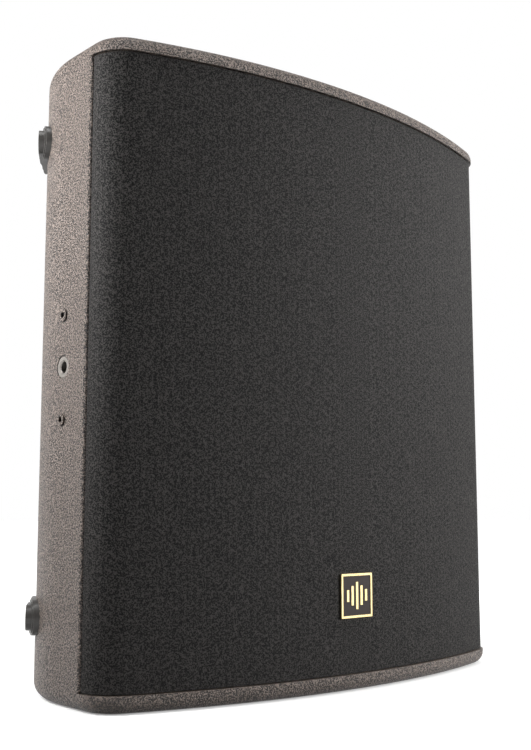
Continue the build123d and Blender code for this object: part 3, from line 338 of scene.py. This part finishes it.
FINISHES = {
    "textured_paint": textured_paint(),
    "raw_plywood": plywood(),
    "grille_steel": plain_grain("grille_steel", (0.02, 0.02, 0.02), 0.6, 1500.0, 0.1 * MM),
    "grille_mesh_cloth": mesh_cloth(),
    "open_cell_foam": felt("open_cell_foam", (0.05, 0.05, 0.05)),
    "lining_felt": felt("lining_felt", (0.40, 0.39, 0.37), 700.0),
    "badge_gold": brushed("badge_gold", (0.70, 0.55, 0.29), 0.28, (1.0, 1.0, 0.02)),
    "badge_enamel": plain_grain("badge_enamel", (0.024, 0.016, 0.014), 0.45, 900.0, 0.02 * MM,
                                **{"Specular IOR Level": 0.2}),
    "foot_rubber": rubber(),
    "zinc_steel": brushed("zinc_steel", (0.21, 0.195, 0.18), 0.5, (1.0, 0.05, 1.0)),
    "black_steel": plain_grain("black_steel", (0.028, 0.028, 0.03), 0.42, 1600.0, 0.05 * MM, metallic=0.3),
    "black_plastic": plain_grain("black_plastic", (0.032, 0.032, 0.034), 0.55, 1300.0, 0.12 * MM),
    "cast_aluminium": plain_grain("cast_aluminium", (0.14, 0.14, 0.145), 0.5, 800.0, 0.2 * MM, metallic=0.8),
    "paper_cone": paper(),
    "coil_copper": winding("coil_copper", (0.62, 0.30, 0.14)),
    "spider_cloth": felt("spider_cloth", (0.50, 0.36, 0.18)),
    "magnet_steel": brushed("magnet_steel", (0.42, 0.42, 0.43), 0.35, (1.0, 0.05, 1.0)),
    "ferrite": plain_grain("ferrite", (0.06, 0.06, 0.062), 0.6, 700.0, 0.2 * MM),
    "titanium_dome": brushed("titanium_dome", (0.50, 0.49, 0.47), 0.3, (1.0, 1.0, 1.0)),
    "circuit_board": plain_grain("circuit_board", (0.03, 0.11, 0.055), 0.4, 300.0, 0.03 * MM, shade=0.15),
    "capacitor_film": plain_grain("capacitor_film", (0.55, 0.42, 0.08), 0.3, 200.0, 0.05 * MM),
    "ceramic": plain_grain("ceramic", (0.78, 0.77, 0.73), 0.7, 900.0, 0.1 * MM),
    "cable_jacket": plain_grain("cable_jacket", (0.04, 0.04, 0.044), 0.5, 1500.0, 0.05 * MM),
}

for part in frame["record"]["subparts"]:
    slots = frame["nodes"][part["node"]].data.materials
    slots.clear()
    slots.append(FINISHES[part["material_slot"]])
studio()

# ---------------------------------------------------------------- cloth over the grille
CLOTH_CORNER = 29 * MM    # bend of the cloth round the front corners
HOLE_PITCH = 5.95 * MM    # the steel's perforation, in upright staggered columns
HOLE_RADIUS = 1.5 * MM
HOLE_POINTS = 12
HOLE_RIM_SHADE = 0.2      # of the hole attribute, which is 1 at the hole's middle; the attribute sets the cloth's dip and its painted shade
DIP_POWER = 0.7
DIP = 0.2 * MM            # the cloth dips into each hole
HEM_TURN = 0.6 * MM       # bend of the hem round the steel's edge
HEM_LAP = 0.4 * MM
HEM_DROP = 0.05 * MM
HEM_TAIL = 1.4            # turns that the hem goes on behind the bend
HEM_STEPS = 120           # along each side


class FrontPath:
    """The grille's line in plan, left to right: a corner arc, the bowed front, the other corner arc."""

    def __init__(self):
        low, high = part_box("grille_cloth")
        self.bottom, self.top = low.z, high.z
        reach = high.x - CLOTH_CORNER
        rise = low.y - high.y
        self.radius = (CLOTH_CORNER**2 - reach**2 - rise**2) / (2 * (rise + CLOTH_CORNER))
        self.centre_y = low.y + self.radius
        self.corner = Vector((reach, high.y))
        self.half_turn = atan2(reach, self.centre_y - high.y)
        self.corner_length = CLOTH_CORNER * (pi / 2 - self.half_turn)
        self.front_length = 2 * self.radius * self.half_turn
        self.length = 2 * self.corner_length + self.front_length

    def points(self, along, out, level):
        """Row-frame points at distances along the path, out from it and up from the grille's bottom edge."""
        side = np.where(along < self.length / 2, -1.0, 1.0)
        from_middle = np.abs(along - self.length / 2)
        past = np.maximum(from_middle - self.front_length / 2, 0.0)
        turn = np.minimum(from_middle, self.front_length / 2) / self.radius + past / CLOTH_CORNER
        on_front = past <= 0.0
        radius = np.where(on_front, self.radius, CLOTH_CORNER) + out
        centre_x = np.where(on_front, 0.0, self.corner.x)
        centre_y = np.where(on_front, self.centre_y, self.corner.y)
        x = side * (centre_x + radius * np.sin(turn))
        y = centre_y - radius * np.cos(turn)
        return np.stack([x, y, self.bottom + level], axis=1)


def mesh_piece(name, points, faces, flat=None):
    """A smooth-shaded object from points and faces, with the flat layout in metres as its UV map."""
    mesh = bpy.data.meshes.new(name)
    mesh.from_pydata(points.tolist(), [], faces)
    mesh.polygons.foreach_set("use_smooth", np.ones(len(mesh.polygons), dtype=bool))
    if flat is not None:
        corner_points = np.empty(len(mesh.loops), dtype=np.int32)
        mesh.loops.foreach_get("vertex_index", corner_points)
        mesh.uv_layers.new(name="flat").data.foreach_set("uv", flat[corner_points].astype(np.float32).ravel())
    mesh.update()
    piece = bpy.data.objects.new(name, mesh)
    bpy.context.scene.collection.objects.link(piece)
    return piece


def dimple_lattice(path):
    """The cloth laid flat, in hexagons with a dimple each: (along, up), dip, hole attribute and faces."""
    height = path.top - path.bottom
    column_pitch = HOLE_PITCH * sqrt(3) / 2
    columns = int(path.length / column_pitch) + 3
    rows = int(height / HOLE_PITCH) + 3
    column, row = np.divmod(np.arange(columns * rows), rows)
    centres = np.stack([path.length / 2 + (column - (columns - 1) / 2) * column_pitch,
                        height / 2 + (row - (rows - 1) / 2 + 0.5 * (column % 2) - 0.25) * HOLE_PITCH], axis=1)
    angles = 2 * pi * np.arange(HOLE_POINTS) / HOLE_POINTS
    spokes = np.stack([np.cos(angles), np.sin(angles)], axis=1)
    reach = np.where(np.arange(HOLE_POINTS) % 2, 0.5 * HOLE_PITCH, HOLE_PITCH / sqrt(3))
    outer = (centres[:, None] + spokes * reach[:, None]).reshape(-1, 2)
    rim = (centres[:, None] + spokes * HOLE_RADIUS).reshape(-1, 2)
    low = np.full(2, HEM_TURN)
    high = np.array([path.length, height]) - HEM_TURN
    grid = 0.01 * MM
    keys, shared = np.unique(np.round(np.clip(np.concatenate([outer, rim, centres]), low, high) / grid)
                             .astype(np.int64), axis=0, return_inverse=True)
    shared = shared.reshape(-1)
    flat = keys * grid
    hole = np.zeros(len(flat))
    hole[shared[len(outer):len(outer) + len(rim)]] = HOLE_RIM_SHADE
    hole[shared[len(outer) + len(rim):]] = 1.0
    edge = np.any((flat <= low + grid) | (flat >= high - grid), axis=1)
    hole[edge] = 0.0
    outer_points = shared[:len(outer)].reshape(-1, HOLE_POINTS)
    rim_points = shared[len(outer):len(outer) + len(rim)].reshape(-1, HOLE_POINTS)
    middle = np.repeat(shared[len(outer) + len(rim):], HOLE_POINTS)
    band = np.stack([outer_points, np.roll(outer_points, -1, 1), np.roll(rim_points, -1, 1), rim_points],
                    axis=2)
    cone = np.stack([rim_points.ravel(), np.roll(rim_points, -1, 1).ravel(), middle], axis=1)
    faces = [tuple(dict.fromkeys(face)) for face in band.reshape(-1, 4).tolist() + cone.tolist()]
    return flat, -DIP * hole**DIP_POWER, hole, [face for face in faces if len(face) > 2]


def hem_band(path, first_point):
    """The cloth's border, which turns back round the steel's edge on all four sides."""
    height = path.top - path.bottom
    bend = [(HEM_TURN * (1 - sin(t)), HEM_TURN * (cos(t) - 1)) for t in np.linspace(0, pi / 2, 5)]
    profile = [(HEM_TURN + HEM_LAP, -HEM_DROP)] + bend + [(0.0, -HEM_TAIL * HEM_TURN)]
    steps = np.linspace(0, 1, HEM_STEPS)[:-1]
    loop = [(u, 0.0) for u in steps] + [(1.0, v) for v in steps]
    loop += [(1.0 - u, 1.0) for u in steps] + [(0.0, 1.0 - v) for v in steps]
    flat = [(inset + u * (path.length - 2 * inset), inset + v * (height - 2 * inset))
            for inset, rise in profile for u, v in loop]
    out = np.repeat([rise for inset, rise in profile], len(loop))
    size = len(loop)
    faces = [(first_point + k * size + i, first_point + k * size + (i + 1) % size,
              first_point + (k + 1) * size + (i + 1) % size, first_point + (k + 1) * size + i)[::-1]
             for k in range(len(profile) - 1) for i in range(size)]
    return np.array(flat), out, faces


def grille_cloth():
    """One sheet of acoustic cloth, stretched over the perforated steel."""
    path = FrontPath()
    flat, out, hole, faces = dimple_lattice(path)
    hem_flat, hem_out, hem_faces = hem_band(path, len(flat))
    flat = np.concatenate([flat, hem_flat])
    points = path.points(flat[:, 0], np.concatenate([out, hem_out]), flat[:, 1])
    cloth = mesh_piece("grille_cloth_sheet", points, faces + hem_faces, flat)
    # The hole attribute carries the painted shade over the holes, and the dip.
    shade = cloth.data.attributes.new("hole", "FLOAT", "POINT")
    shade.data.foreach_set("value", np.concatenate([hole, np.zeros(len(hem_flat))]).astype(np.float32))
    cloth.data.materials.append(FINISHES["grille_mesh_cloth"])
    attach(cloth, "cabinet")
    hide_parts("grille_cloth")


grille_cloth()
